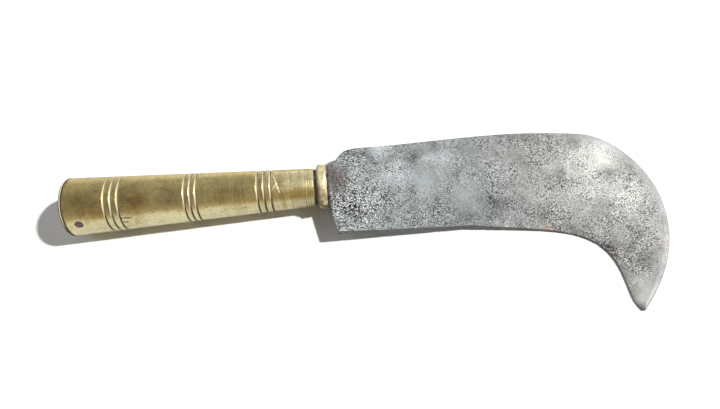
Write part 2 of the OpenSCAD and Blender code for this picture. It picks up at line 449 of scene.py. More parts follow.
# Patches of the blade as (from the collar, from the handle's axis, radius, how much lighter or darker)
PATCHES = (
    (12, -11, 14, -0.25), (15, -17, 9, -0.20), (3, -20, 6, 0.22), (6, 15, 4, 0.15),
    (9, -12, 7, -0.14), (14, 27, 5, -0.14), (14, 22, 5, -0.16), (20, 20, 5, -0.18),
    (26, 18, 5, -0.14), (16, 8, 7, 0.12), (28, 1, 8, 0.13), (38, 8, 13, 0.26), (32, 27, 11, 0.34),
    (49, 18, 5, -0.22), (53, 20.5, 5, -0.20), (58, 23, 5, -0.16), (64, 24.5, 5, -0.12),
    (96, 10, 4, -0.18), (74, 4, 4, -0.16), (91, -14, 5, -0.12), (66, 16, 13, 0.20),
    (50, 4, 13, 0.05), (62, 2, 11, 0.05), (72, 10, 8, -0.08), (112, 29, 12, -0.14),
    (124, 28, 10, -0.10), (149, 23, 9, -0.14), (108, -13, 8, -0.13), (118, -25, 9, -0.15),
    (94, -16, 15, -0.18), (72, -22, 10, -0.07), (104, -28, 8, -0.08), (158, 10, 20, 0.46),
    (148, -10, 16, 0.22), (166, -18, 17, 0.34), (140, 8, 16, 0.20), (133, -1, 7, -0.18),
    (160, -3, 7, -0.20), (153, -20, 7, -0.14), (147, -50, 11, -0.16), (165, -41, 9, -0.12),
    (162, -54, 13, -0.12), (150, -69, 8, -0.02), (158, -55, 24, -0.06), (154, -76, 13, 0.18),
    (131, -33, 16, -0.08),
)
# Spots of rust as (from the collar, from the handle's axis, radius, strength)
RUST_SPOTS = (
    (118, -34, 4, 0.65), (150, -53, 6, 0.2), (62, 3, 3, 0.2), (171, -52, 4, 0.2), (57, -20, 3, 0.1),
)
# Where there is more grain, and where there is less, as (x, y, radius, how much)
GRAINY_PLACES = ((12, -12, 36, 0.75), (16, 16, 15, 0.7))
CALM_PLACES = (
    (76, -15, 13, 0.6), (57, 6, 17, 0.6), (58, 23, 11, 0.5), (26, 27, 9, 0.25), (154, -76, 14, 0.8),
    (33, 3, 9, 0.4), (162, 12, 16, 0.25), (150, -12, 16, 0.2),
)
# Painted shade for the blade's side walls
WALL_SHADE = (0.085, 0.075, 0.078)
PATINA = (0.078, 0.056, 0.055)
RUST = (0.33, 0.17, 0.08)


def steel_tone(s, from_neck, from_edge, ragged):
    """How light the metal is, before its grain."""
    tone = s.fit(from_neck, 100, 150, 0.43, 0.48)
    tone = s.add(tone, s.fit(from_edge, 4, 30, -0.08, 0))
    tone = s.add(tone, s.fit(s.noise(9, 4, 0.7), 0.3, 0.7, -0.08, 0.08))
    hook_edge = s.times(s.fit(from_edge, 0.5, 7, -0.15, 0), s.fit(from_neck, 112, 135))
    tone = s.add(tone, hook_edge)
    for x, y, radius, change in PATCHES:
        tone = s.add(tone, s.times(s.spot(blade_place(x, y), radius, 0.9, ragged), change))
    return tone


def grain_strength(s, rim, ragged):
    """Most at the heel and the shoulder, little in the calm places and on the nose's rim."""
    strong = s.fit(s.noise(12, 4, 0.65), 0.35, 0.62, 0.6, 1.3)
    for x, y, radius, more in GRAINY_PLACES:
        strong = s.add(strong, s.times(s.spot(blade_place(x, y), radius, 0.9), more))
    for x, y, radius, less in CALM_PLACES:
        calm = s.spot(blade_place(x, y), radius, 0.8, ragged)
        strong = s.times(strong, s.fit(calm, 0, 1, 1, 1 - less, smooth=False))
    return s.times(strong, s.fit(rim, 0, 1, 1, 0.25, smooth=False))


def steel_grain(s, relief, strong, at_heel):
    """How much there is of fine dark pits, and of bright points between them."""
    dark = s.times(s.fit(relief, 0.42, 0.48, 1, 0), 0.75)
    light = s.times(s.fit(relief, 0.53, 0.58), 0.75)
    for size, edge, share, darkest, lightest in (
        (0.8, (0.25, 0.5), 1, (0.42, 0.5), (0.38, 0.28)),
        (0.88, (0.36, 0.5), at_heel, (0.39, 0.46), (0.34, 0.27)),
    ):
        away, tint = s.cells(size)
        inside = s.times(s.fit(away, *edge, 1, 0), share)
        dark = s.math("MAXIMUM", dark, s.times(inside, s.fit(tint, *darkest)))
        light = s.math("MAXIMUM", light, s.times(inside, s.fit(tint, *lightest)))
    return s.times(dark, strong), s.times(light, strong)


def make_steel():
    s = Shader("blade_steel")
    from_neck = s.attribute("from_neck")
    from_edge = s.attribute("from_edge")
    ragged = s.ragged(9, 5)
    rim = s.times(s.fit(s.attribute("from_back"), 3, 7, 1, 0), s.fit(from_neck, 135, 160))
    at_heel = s.spot(blade_place(10, -12), 32, 0.9)
    strong = grain_strength(s, rim, ragged)
    fine = s.noise(0.7, 2, 0.6, stretch=(1.2, 1, 1))
    relief = s.add(s.times(fine, 0.8), s.times(s.noise(2.4, 3, 0.7), 0.2))
    dark, light = steel_grain(s, relief, strong, at_heel)
    pitted = s.fit(s.noise(5, 2, 0.6), 0.46, 0.6)
    pit = s.times(s.fit(s.cells(2.3)[0], 0.12, 0.30, 1, 0), pitted, strong)

    metal = s.mix(s.fit(from_neck, 60, 135), (0.905, 0.98, 1.0), (1.0, 1.0, 0.955))
    metal = s.over(metal, ((0.955, 0.96, 0.99), rim, 0.6))
    base = s.mix(steel_tone(s, from_neck, from_edge, ragged), (0.0, 0.0, 0.0), metal)
    patina = s.spot(blade_place(1, 5), 18, 0.85, s.ragged(5, 3.5))
    patina = s.math("MAXIMUM", patina, s.fit(from_neck, 0.5, 2.5, 1, 0))
    base = s.over(
        base,
        ((0.02, 0.02, 0.025), dark, 0.85),
        ((0.95, 0.975, 1.0), light, s.fit(at_heel, 0, 0.6, 0.38, 0.56)),
        ((0.03, 0.028, 0.028), pit, 0.7),
        (PATINA, patina, 0.82),
        # Near black where the blade meets the collar: painted shade in the gap between them
        ((0.025, 0.02, 0.02), s.fit(from_neck, 0.2, 0.9, 1, 0), 0.9),
    )
    rusty = s.fit(s.noise(1.6, 3, 0.7), 0.36, 0.54)
    for x, y, radius, depth in RUST_SPOTS:
        base = s.over(base, (RUST, s.spot(blade_place(x, y), radius, 0.8), rusty, depth))
    # The blade's side walls are painted dark: painted shade on its edge faces
    base = s.over(base, (WALL_SHADE, s.attribute("wall"), 0.8))

    roughness = s.fit(s.noise(11, 4, 0.65), 0.3, 0.7, 0.62, 0.52)
    roughness = s.add(roughness, s.times(s.add(dark, s.add(patina, rim)), 0.12))
    height = s.math("SUBTRACT", s.times(relief, 1.4), pit)
    normal = s.bump(s.noise(6, 3, 0.6), 0.20, 0.6)
    normal = s.bump(s.times(height, strong), 0.09, 0.9, normal)
    metallic = s.fit(patina, 0, 1, 0.6, 0.3)
    return s.set(Base_Color=base, Metallic=metallic, Roughness=roughness, Normal=normal)


# Brass of the handle, the cap and the collar

# Brown stains of the handle as (from the butt, degrees, radius, strength)
BROWN_PLACES = (
    (40, 35, 9, 0.7), (15, 42, 10, 0.45), (8, 20, 6, 0.3), (60, 25, 9, 0.15), (88, 38, 9, 0.2),
)
# Pitted places of the handle as (from the butt, degrees, radius)
PITTED_PLACES = ((14, 30, 6), (33, 38, 6), (48, 60, 5), (77, 20, 7), (118, 30, 6))
RUBBED = (0.97, 0.89, 0.56)
# Painted reflection of the white table on the brass's low side
TABLE_REFLECTION = (0.53, 0.54, 0.39)
BROWN = (0.33, 0.165, 0.055)
VERDIGRIS = (0.27, 0.30, 0.20)
# Dark brown of dirt, also laid on as painted shade
DIRT_AND_SHADE = (0.035, 0.021, 0.011)


def on_handle(x, degrees):
    """A place on the handle's outside, in the row's millimetres."""
    return handle_points(x, handle_r(x), math.radians(degrees))


class Brass(Shader):
    """Turned brass: its bright, worn and tarnished colours, and what its wear and its painted light go
    by.
    """

    def __init__(self, name, colours, cloud_size):
        super().__init__(name)
        self.bright, self.worn, self.tarnish = colours
        self.along = self.attribute("along")
        self.up = self.attribute("up")
        self.dirt_and_shade = self.attribute("dirt_and_shade")
        self.sunk_and_highlit = self.fit(self.attribute("sunk_and_highlit"), 0.06, 0.25)
        self.turning = self.noise(1.0, 3, 0.6, stretch=(0.35, 9, 9))
        self.clouds = self.noise(cloud_size, 4, 0.65, distortion=0.4)
        self.mottle = self.noise(2.6, 4, 0.7)
        # The band where the side turns under, darkened with painted shade between the darker upper half
        # and the pale low side
        shade_band_from = self.fit(self.along, 108, 118, 0.9, 0.97)
        shade_band_full = self.fit(self.along, 108, 118, 0.7, 0.8)
        self.turn_under_shade = self.times(
            self.fit(self.up, shade_band_from, shade_band_full), self.fit(self.up, 0.35, 0.55)
        )


def tarnished(s):
    """Browner above and towards the butt, with painted shade where the side turns under and a painted
    reflection of the table on the low side; rubbed clean by the collar.
    """
    along = s.along
    up = s.up
    on_sleeve = s.fit(along, 134, 136, 1, 0.3)
    brown = s.times(s.fit(up, 0.2, 0.95, 0.1, 1.0), s.fit(along, 105, 128, 1.0, 0.25))
    brown = s.times(brown, s.fit(s.clouds, 0.3, 0.7, 0.35, 1.0))
    return s.over(
        s.mix(s.fit(s.clouds, 0.34, 0.66), s.worn, s.bright),
        (s.tarnish, brown, 0.7),
        (s.tarnish, s.fit(along, 25, 50, 0.22, 0), s.fit(up, 0.55, 0.1)),
        (s.bright, s.fit(along, 25, 55), s.fit(along, 85, 115, 0.3, 0)),
        (s.tarnish, s.fit(along, 80, 130, 0, 0.8), on_sleeve, s.fit(up, 0.85, 0.45)),
        # Painted shade where the side turns under
        (s.tarnish, s.turn_under_shade, s.fit(along, 60, 120, 0.34, 0.56), on_sleeve),
        (RUBBED, s.fit(along, 100, 125), s.fit(up, 0.74, 0.96), 0.8),
        # A painted reflection of the white table, pale and grey, on the low side
        (TABLE_REFLECTION, s.fit(up, 0.6, 0.25, 0, 0.62), on_sleeve),
    )


def stained(s, base):
    """Brown stains, and tarnish in spots and smears."""
    ragged = s.ragged(4, 2)
    spotty = s.fit(s.mottle, 0.35, 0.6, 0.3, 1)
    for x, degrees, radius, share in BROWN_PLACES:
        stain = s.spot(on_handle(x, degrees), radius, 0.9, ragged)
        base = s.over(base, (BROWN, stain, share, spotty))
    smear = s.noise(3.5, 3, 0.65, stretch=(3, 1, 1))
    return s.over(
        base,
        (s.tarnish, s.fit(s.mottle, 0.48, 0.7), 0.5),
        (s.tarnish, s.fit(smear, 0.52, 0.7), 0.45),
    )


def streaked(s, base, streaks):
    """Streaks round the handle from its turning, stronger towards the collar."""
    fine_streak = s.fit(s.turning, 0.35, 0.65, -0.5, 0.5)
    wide_streak = s.fit(s.noise(1.0, 3, 0.6, stretch=(2.5, 40, 40)), 0.4, 0.6, -0.5, 0.5)
    strength = s.fit(s.along, 60, 125, 0.45 * streaks, 1.1 * streaks)
    streak = s.times(s.add(fine_streak, wide_streak), strength)
    return s.over(
        base,
        (s.tarnish, s.fit(streak, 0, 0.9, 0, 0.4)),
        (s.bright, s.fit(streak, -0.9, 0, 0.35, 0)),
    )


def specked(s, base, pitted, speck):
    """Dark specks, and bright ones that are painted glints, most of them in the pitted places."""
    grain = s.noise(0.8, 3, 0.7)
    return s.over(
        base,
        ((0.10, 0.065, 0.03), speck, 0.8),
        # Painted glints: bright specks in the pitted places
        ((0.95, 0.86, 0.58), s.fit(grain, 0.60, 0.72), pitted, 0.5),
        (s.tarnish, s.fit(grain, 0.42, 0.30), 0.35),
    )


def soiled_and_painted_light(s, base, groove_highlight):
    """Verdigris by the first grooves, a painted highlight in the upper grooves and on the cap's rim, a
    ring round the pin, and dirt with painted shade.
    """
    green = s.spot(on_handle(28.6, 47), 5.5, 0.8, s.ragged(3, 1.5))
    pin_place = on_handle(PIN_AT, PIN_TURN)
    return s.over(
        base,
        (VERDIGRIS, green, s.fit(s.mottle, 0.4, 0.6, 0.15, 0.7)),
        # A pale painted highlight on the grooves' upper side and on the cap's rim
        ((0.90, 0.86, 0.68), groove_highlight, 0.65),
        (s.bright, s.spot(pin_place, PIN_R + 2, 0.4), 0.4),
        ((0.07, 0.05, 0.045), s.spot(pin_place, PIN_R + 0.4, 0.2), 0.85),
        # Dirt, and painted shade where the dirt masks carry it
        (DIRT_AND_SHADE, s.dirt_and_shade, 0.97),
    )


def make_brass(name, colours, streaks=1.0, lumps=0.0, cloud_size=11, roughness=0.3, metallic=0.85):
    s = Brass(name, colours, cloud_size)
    pitted = s.fit(s.noise(9, 2, 0.5), 0.45, 0.62)
    for x, degrees, radius in PITTED_PLACES:
        pitted = s.math("MAXIMUM", pitted, s.spot(on_handle(x, degrees), radius, 0.7))
    speck = s.times(s.fit(s.cells(1.7)[0], 0.14, 0.26, 1, 0), pitted)
    # Where the painted highlight goes: the grooves' upper side, and the cap's rim
    groove_highlight = s.times(s.sunk_and_highlit, s.fit(s.up, 0.2, 0.6))
    base = streaked(s, stained(s, tarnished(s)), streaks)
    base = soiled_and_painted_light(s, specked(s, base, pitted, speck), groove_highlight)

    shine = s.fit(s.along, 40, 125, metallic - 0.08, metallic - 0.15)
    shine = s.times(shine, s.fit(s.dirt_and_shade, 0, 1, 1, 0.2))
    rub = s.noise(1.2, 3, 0.7)
    uneven = s.add(s.times(s.clouds, 0.6), s.times(rub, 0.4))
    rough_value = s.fit(uneven, 0.3, 0.7, roughness + 0.1, roughness - 0.06)
    rough_value = s.add(rough_value, s.fit(s.along, 105, 130, 0.0, 0.1))
    for dull, share in ((s.dirt_and_shade, 0.4), (s.sunk_and_highlit, 0.25), (s.turn_under_shade, 0.15)):
        rough_value = s.add(rough_value, s.times(dull, share))
    height = s.add(s.times(s.turning, 0.5 * streaks), s.times(rub, 0.5))
    normal = s.bump(s.noise(cloud_size / 2, 3, 0.6), 0.10 + lumps)
    normal = s.bump(height, 0.04, 0.8, normal)
    normal = s.bump(speck, -0.08, 0.8, normal)
    return s.set(
        Base_Color=base,
        Metallic=s.fit(groove_highlight, 0, 1, shine, 0.3),
        Roughness=rough_value,
        Specular_IOR_Level=0.12,
        Normal=normal,
    )


def make_iron():
    s = Shader("pin_iron")
    rust = s.noise(0.7, 4, 0.7)
    base = s.mix(s.fit(rust, 0.4, 0.62), (0.075, 0.065, 0.065), (0.20, 0.15, 0.12))
    roughness = s.fit(rust, 0.3, 0.7, 0.5, 0.75)
    normal = s.bump(rust, 0.15, 0.9)
    return s.set(Base_Color=base, Metallic=0.6, Roughness=roughness, Normal=normal)


def make_wood():
    s = Shader("core_wood")
    rings = s.noise(1.6, 4, 0.6, stretch=(14, 1, 1))
    pores = s.noise(0.35, 2, 0.6, stretch=(10, 1, 1))
    base = s.mix(s.fit(rings, 0.3, 0.7), (0.24, 0.13, 0.06), (0.42, 0.26, 0.13))
    base = s.over(base, ((0.12, 0.06, 0.03), s.fit(pores, 0.58, 0.7), 0.6))
    roughness = s.fit(rings, 0.3, 0.7, 0.55, 0.75)
    return s.set(Base_Color=base, Roughness=roughness, Normal=s.bump(rings, 0.1, 0.6))


# The colours of each brass: bright, worn and tarnished
HANDLE_COLOURS = ((0.80, 0.69, 0.355), (0.66, 0.54, 0.22), (0.32, 0.215, 0.06))
CAP_COLOURS = ((0.72, 0.62, 0.34), (0.58, 0.47, 0.21), (0.28, 0.19, 0.055))
COLLAR_COLOURS = ((0.90, 0.83, 0.60), (0.62, 0.52, 0.28), (0.30, 0.20, 0.08))

steel = make_steel()
brass = make_brass("handle_brass", HANDLE_COLOURS)
cap_brass = make_brass("cap_brass", CAP_COLOURS, roughness=0.34)
collar_brass = make_brass(
    "collar_brass", COLLAR_COLOURS,
    streaks=0.3, lumps=0.15, cloud_size=4, roughness=0.42, metallic=0.7
)
iron = make_iron()
wood = make_wood()


# Handle sleeve

# Scratches as (x, degrees) of their two ends, width and depth, and dents as (x, degrees, radius, depth)
SCRATCHES = (
    (112.9, -20, 116.7, 40, 0.5, 0.17), (115.6, 12, 112.0, 36, 0.45, 0.14),
    (113.2, 22, 116.2, 24, 0.3, 0.08), (118.4, 37, 120.0, 40, 0.4, 0.10),
    (121.7, 2, 121.9, 14, 0.35, 0.08), (28.5, 65.5, 36.4, 68, 0.5, 0.16),
    (31.8, 77, 35.3, 81, 0.45, 0.14), (84, -20, 90, 5, 0.35, 0.06), (47, 150, 60, 165, 0.4, 0.10),
    (90, 210, 99, 200, 0.45, 0.12), (20, 265, 24, 290, 0.4, 0.10), (72, 300, 79, 315, 0.35, 0.08),
)
DENTS = (
    (100.3, 38, 1.0, 0.16), (121.4, 84, 0.8, 0.16), (34.7, 25, 0.9, 0.14), (46.2, 24, 1.1, 0.12),
    (12.0, 10, 0.9, 0.10), (14.7, 31, 1.2, 0.08), (34.4, 49, 0.9, 0.12), (50.2, 65, 0.8, 0.12),
    (58, 130, 3.5, 0.12), (82, 190, 2.6, 0.14), (39, 240, 3.0, 0.12), (98, 280, 2.4, 0.10),
    (62, 330, 2.8, 0.08),
)


# Steps between the sleeve's rings, finer in its scratched stretches
RING_STEP = 0.45
RING_STEP_SCRATCHED = 0.22
SCRATCHED = ((110.5, 123), (27, 37))

# Degrees from the top to the middle of the strip where the grooves catch the light and their painted
# shade is least
GROOVE_LIGHT_AT = 20


# Every groove and fine line as (x, width, depth)
GROOVES = [(x, LINE_W, LINE_DEPTH) for x in LINE_AT]
for centre, pitch in zip(BAND_AT, GROOVE_PITCH):
    GROOVES += [(centre + step * pitch, GROOVE_W, GROOVE_DEPTH) for step in (-1, 0, 1)]


def is_outside(x, r):
    """True on the sleeve's outside, and False in its bore."""
    return r > bore_r(x) + 0.6


def sleeve_dirt_and_shade(x, r, angle):
    """Dirt and painted shade in the grooves, least and kept to their side away from the sun in the strip
    where they catch the light; dirt at the cap's seam, and in the scratches outside that strip.
    """
    turn = np.degrees(turn_from(angle, GROOVE_LIGHT_AT))
    off_lit_strip = np.clip((np.abs(turn) - 24) / 18, 0, 1) * np.where(turn < 0, 0.7, 1)
    share = 0.65 + 0.35 * off_lit_strip
    total = np.zeros(x.shape)
    for groove_x, width, depth in GROOVES:
        strength = 1.0 if depth > LINE_DEPTH else 0.6
        # In the lit strip the grooves' dark keeps to their side away from the sun: painted shade
        offset = 0.15 * (1 - off_lit_strip) * width
        reach = (0.5 + 0.1 * off_lit_strip) * width
        total = np.maximum(total, strength * share * hump(x - groove_x - offset, reach))
    total = np.maximum(total, hump(x - CAP_RIM - 0.25, 1.0))
    dashes = np.clip(noise(handle_points(x, r, angle), 1.2, 61) * 3 + 1, 0, 1)
    scratched = np.clip(scratches(x, r, angle) / 0.06, 0, 1)
    total = np.maximum(total, off_lit_strip * dashes * scratched)
    return np.where(is_outside(x, r), total, 0)


def scratches(x, r, angle):
    """Depth of the scratches."""
    total = 0
    for x0, deg0, x1, deg1, width, depth in SCRATCHES:
        mean_r = handle_r((x0 + x1) / 2)
        start = np.array([x0, math.radians(deg0) * mean_r])
        run = np.array([x1, math.radians(deg1) * mean_r]) - start
        middle = (deg0 + deg1) / 2
        turn = turn_from(angle, middle) + math.radians(middle)
        here = np.stack([x, turn * mean_r], axis=-1) - start
        share = np.clip((here @ run) / (run @ run), 0, 1)
        off = np.linalg.norm(here - share[..., None] * run, axis=-1)
        total = total + depth * hump(off, width)
    return np.where(is_outside(x, r), total, 0)


def sleeve_wobble(x, r, angle):
    """Lumps, dents and scratches of the sleeve's outside; the bore stays true."""
    at = handle_points(x, r, angle)
    worn_off = 0.05 * (1 + noise(at, 14, 3)) + 0.02 * (1 + noise(at, 3.5, 5))
    worn_off = worn_off + scratches(x, r, angle) + humps(DENTS, x, r, angle)
    return np.where(is_outside(x, r), -worn_off, 0)


def sleeve_profile():
    back_x = CAP_RIM + SEAT_GAP
    front_x = GRIP_LEN - SEAT_GAP
    places = [np.arange(back_x + 0.5, front_x - 0.5, RING_STEP)]
    for x, width, depth in GROOVES:
        places.append(np.linspace(x - width, x + width, 21))
    for low, high in SCRATCHED:
        places.append(np.arange(low, high, RING_STEP_SCRATCHED))
    xs = np.unique(np.round(np.concatenate(places), 3))
    xs = xs[np.append(True, np.diff(xs) > 0.05)]
    rs = handle_r(xs)
    for x, width, depth in GROOVES:
        off = np.abs(xs - x)
        rs = rs - depth * np.clip(1 - off / (width / 2), 0, 1) ** 0.8
        rs = rs + 0.06 * depth * hump(off - width * 0.62, width * 0.25)
    edge = 0.35
    outer = [(back_x, handle_r(back_x) - edge), (back_x + 0.1, handle_r(back_x) - 0.1)]
    outer += zip(xs, rs)
    outer += [(front_x - 0.1, handle_r(front_x) - 0.1), (front_x, handle_r(front_x) - edge)]
    inner = [(x, bore_r(x)) for x in np.linspace(front_x, back_x, 12)]
    return outer + inner


turned(
    "handle_sleeve_turned", sleeve_profile(), (brass, "handle_brass"), ["handle_sleeve"],
    sleeve_wobble, sleeve_dirt_and_shade, cuts_and_highlight=scratches
)


# Butt cap

CAP_FACE_R = 14.6
# Rings turned into the butt's face, as (radius, width of the dirt in them)
FACE_RINGS = ((1.2, 0.8), (5.2, 0.6))
# The stretch of the rim with a painted highlight, between its two dark lines
BRIGHT_FROM = 0.72
BRIGHT_TO = 1.15


def cap_profile():
    front = CAP_RIM + CAP_SPIGOT_LEN
    r = BUTT_R
    face = [(0.0, 0.0), (0.05, 1.2), (0.0, 1.7), (0.0, 5), (0.04, 5.2), (0.0, 5.5)]
    face += [(0.0, radius) for radius in np.linspace(7, CAP_FACE_R, 8)]
    rim = [(0.02, r - 0.62), (0.1, r - 0.46), (0.3, r - 0.27), (0.55, handle_r(0.55) - 0.03)]
    rim += [(x, handle_r(x) - 0.02) for x in (0.8, 0.9, 1.05, 1.15)]
    rim.append((1.28, handle_r(1.28) - 0.06))
    rim += [(CAP_RIM - 0.04, handle_r(CAP_RIM) - 0.25)]
    spigot = [(CAP_RIM, handle_r(CAP_RIM) - 0.5), (CAP_RIM, bore_r(CAP_RIM) - 0.1)]
    spigot += [(front - 0.4, bore_r(front) - 0.1), (front, bore_r(front) - 0.5), (front, 4), (front, 0.0)]
    return face + rim + spigot


def cap_wobble(x, r, angle):
    at = handle_points(x, r, angle)
    return np.where(r > CAP_FACE_R - 0.6, -0.04 * (1 + noise(at, 5, 21)), 0)


def cap_dirt_and_shade(x, r, angle):
    """Painted shade round the rim's outer corner and on its low side, a dark line at its seam with the
    sleeve, and dirt on the face, most in its rings.
    """
    seam = np.clip((x - BRIGHT_TO) / 0.1, 0, 1)
    # The dark line round the outer corner and the darker low side of the rim are painted shade
    corner = np.clip((BRIGHT_FROM - x) / 0.08, 0, 1)
    under = 0.85 * np.clip((0.4 - np.cos(angle)) / 0.3, 0, 1)
    rim = np.maximum(np.maximum(seam, corner), under)
    face = 0.12 + 0.5 * np.clip((r - 13.5) / 2, 0, 1)
    for ring_r, width in FACE_RINGS:
        face = face + 0.35 * hump(r - ring_r, width)
    return np.where(r > CAP_FACE_R, rim, face)


def cap_rim_highlight(x, r, _):
    """A painted highlight on the rim between its two dark lines, given as a cut so that it takes the pale
    colour of the grooves' painted highlight.
    """
    bright = (r > CAP_FACE_R) & (x >= BRIGHT_FROM) & (x <= BRIGHT_TO)
    return np.where(bright, 0.25, 0)


turned(
    "butt_cap_turned", cap_profile(), (cap_brass, "handle_brass"), ["butt_cap"],
    cap_wobble, cap_dirt_and_shade, cuts_and_highlight=cap_rim_highlight
)


# Collar

# Degrees from the top to the collar's rough low side, and how far past it the roughness goes
ROUGH_AT = 92
ROUGH_REACH = 34

# Lumps and hollows of the collar as (x, degrees, radius, height)
LUMPS = (
    (137.6, 92, 2.0, 0.9), (140.6, 84, 1.6, 0.8), (139.2, 101, 1.8, 0.6), (141.0, 66, 1.3, -0.35),
    (138.4, 58, 1.5, -0.3), (141.3, 35, 1.2, -0.25), (139.4, 12, 1.8, -0.3),
    (140.8, -14, 1.5, -0.25), (141.2, -36, 1.6, 0.15), (140.2, 120, 1.8, -0.3),
    (139.6, 230, 2.4, -0.3), (140.4, 275, 2.0, 0.25), (141.0, 310, 1.6, -0.25),
)


def collar_profile():
    back = GRIP_LEN - SPIGOT_LEN
    spigot_r = bore_r(GRIP_LEN) - 0.1
    groove_r = NECK_R - COLLAR_GROOVE_DEPTH
    bead_x = GRIP_LEN + COLLAR_GROOVE_W
    points = [(back, 0.0), (back, spigot_r - 0.4), (back + 0.4, spigot_r), (GRIP_LEN + 0.02, spigot_r)]
    points += [(x, groove_r) for x in np.linspace(GRIP_LEN + 0.05, bead_x - 0.3, 6)]
    turn = np.radians(np.arange(0, 91, 6))
    rise = (BEAD_R - groove_r) * np.sin(turn)
    points += zip(bead_x + BEAD_LEN * (1 - np.cos(turn)), groove_r + rise)
    round_len = 1.9
    round_drop = 1.2
    top_end = COLLAR_FRONT - round_len
    points += [(x, BEAD_R) for x in np.linspace(bead_x + BEAD_LEN + 0.25, top_end - 0.2, 7)]
    turn = np.radians(np.arange(0, 91, 9))
    points += zip(top_end + round_len * np.sin(turn), BEAD_R - round_drop * (1 - np.cos(turn)))
    points += [(COLLAR_FRONT, radius) for radius in np.linspace(BEAD_R - round_drop - 0.3, 1, 14)]
    return points + [(COLLAR_FRONT, 0.0)]


def collar_wobble(x, r, angle):
    """Lumps and hollows of the bead, with nothing added where it rests on the table."""
    at = handle_points(x, r, angle)
    out = -0.24 * (1 + rough(at, 2.6, 31))
    out = out + 0.75 * rough(at, 1.3, 53) * hump(np.degrees(angle) - ROUGH_AT, ROUGH_REACH)
    out = out + humps(LUMPS, x, r, angle)
    resting = np.cos(angle) < -0.9
    out = np.where(resting, np.minimum(out, 0), out)
    return np.where((r > NECK_R) & (x > GRIP_LEN + COLLAR_GROOVE_W), out, 0)


def collar_push(x, r, angle):
    at = handle_points(x, r, angle)
    return np.where(x > GRIP_LEN + 4, -0.35 * (1 + noise(at, 4, 37)), 0)


def collar_dirt_and_shade(x, r, angle):
    """Painted shade in the groove by the sleeve, fading up the bead's side away from the sun, and dirt in
    the hollows and pits of the low side.
    """
    at = handle_points(x, r, angle)
    # Painted shade in the groove and up the bead's side away from the sun
    shade_ends_at = GRIP_LEN + 4.1
    shade_fade = np.clip((shade_ends_at - x) / 2.4, 0, 1) * (0.8 + 0.2 * noise(at, 2, 39))
    low_side = np.clip(noise(at, 1.2, 43) * 3, 0, 1) * hump(np.degrees(angle) - ROUGH_AT, 40)
    pits = np.clip(noise(at, 2.0, 47) * 2.5 - 0.7, 0, 1)
    pits = pits * np.clip((np.degrees(angle) - 45) / 25, 0.15, 1)
    return np.maximum(np.where(x > GRIP_LEN, shade_fade, 0), np.maximum(0.6 * low_side, 0.5 * pits))


turned(
    "collar_cast", collar_profile(), (collar_brass, "collar_brass"), ["collar"],
    collar_wobble, collar_dirt_and_shade, push=collar_push, segments=240
)


# Pin

def make_pin():
    """A rough bar across the butt, with domed ends."""
    half = handle_r(PIN_AT) + PIN_PROUD
    segments = 48
    rows = [(-half + 0.02, 0.35), (-half + 0.04, 0.9), (-half + 0.12, 1.35), (-half + 0.35, PIN_R)]
    rows += [(at, PIN_R) for at in np.linspace(0.6 - half, half - 0.6, 9)]
    rows += [(-at, r) for at, r in reversed(rows[:4])]
    angle = np.arange(segments) * 2 * math.pi / segments
    turn = math.radians(PIN_TURN)
    out = math.cos(turn) * UP + math.sin(turn) * HOOKWARD
    side = np.cross(out, ALONG)
    centre = BUTT + PIN_AT * ALONG
    points = []
    for at, r in rows:
        ring = centre + at * out + r * (np.cos(angle)[:, None] * ALONG + np.sin(angle)[:, None] * side)
        dig = 0.07 * (1 + noise(ring, 0.9, 41)) * (abs(at) > half - 0.6)
        points.append(ring - dig[:, None] * np.sign(at) * out)
    points = np.vstack(points + [centre - (half - 0.1) * out, centre + (half - 0.1) * out])
    faces = capped(len(rows), segments)
    finish_mesh("butt_pin_forged", points, faces, {}, iron, "pin_iron", ["butt_pin"])


make_pin()


# Blade

FINE = 10
FIRST_FINE = 20
SHOULDER_PULL = ((5.5, 8.7), (-14, -0.8))
SPINE_PULL = ((42, 2.6), (-44, 8.4))
NOSE_PULL = ((18, -1.6), (0, 24))
BEAK_PULL = ((0, -25), (16.5, 16.5))
TIP_PULL = ((-1.6, -1.6), (0.8, 0.2))
HOOK_PULL = ((45, -6.4), (-2.6, 30.4))
THROAT_PULL = ((0.8, -12.6), (-3.5, 5.8))

# Nicks of the cutting edge, as (distance along it from the heel, half width, depth)
NICKS = (
    (9, 1.2, 0.25), (31, 0.9, 0.2), (58, 1.4, 0.3), (83, 1.6, 0.35), (87.5, 0.9, 0.25),
    (93, 1.1, 0.3), (104, 0.8, 0.2), (128, 1.0, 0.2), (141, 1.3, 0.25),
)


def cubic(a, pull, b, steps):
    """Points along a cubic curve that leaves a towards a + pull[0] and comes to b from b + pull[1]."""
    t = np.arange(1, steps * FINE + 1)[:, None] / (steps * FINE)
    c, d = np.add(a, pull[0]), np.add(b, pull[1])
    return (1 - t) ** 3 * a + 3 * t * (1 - t) ** 2 * c + 3 * t**2 * (1 - t) * d + t**3 * b


def straight(a, b, count):
    t = np.arange(1, count + 1)[:, None] / count
    return a + (b - a) * t


def rib_at(i):
    """The CAD's rib number of the mesh's i-th rib."""
    return i / FIRST_FINE if i < FIRST_FINE else 1 + (i - FIRST_FINE) / FINE


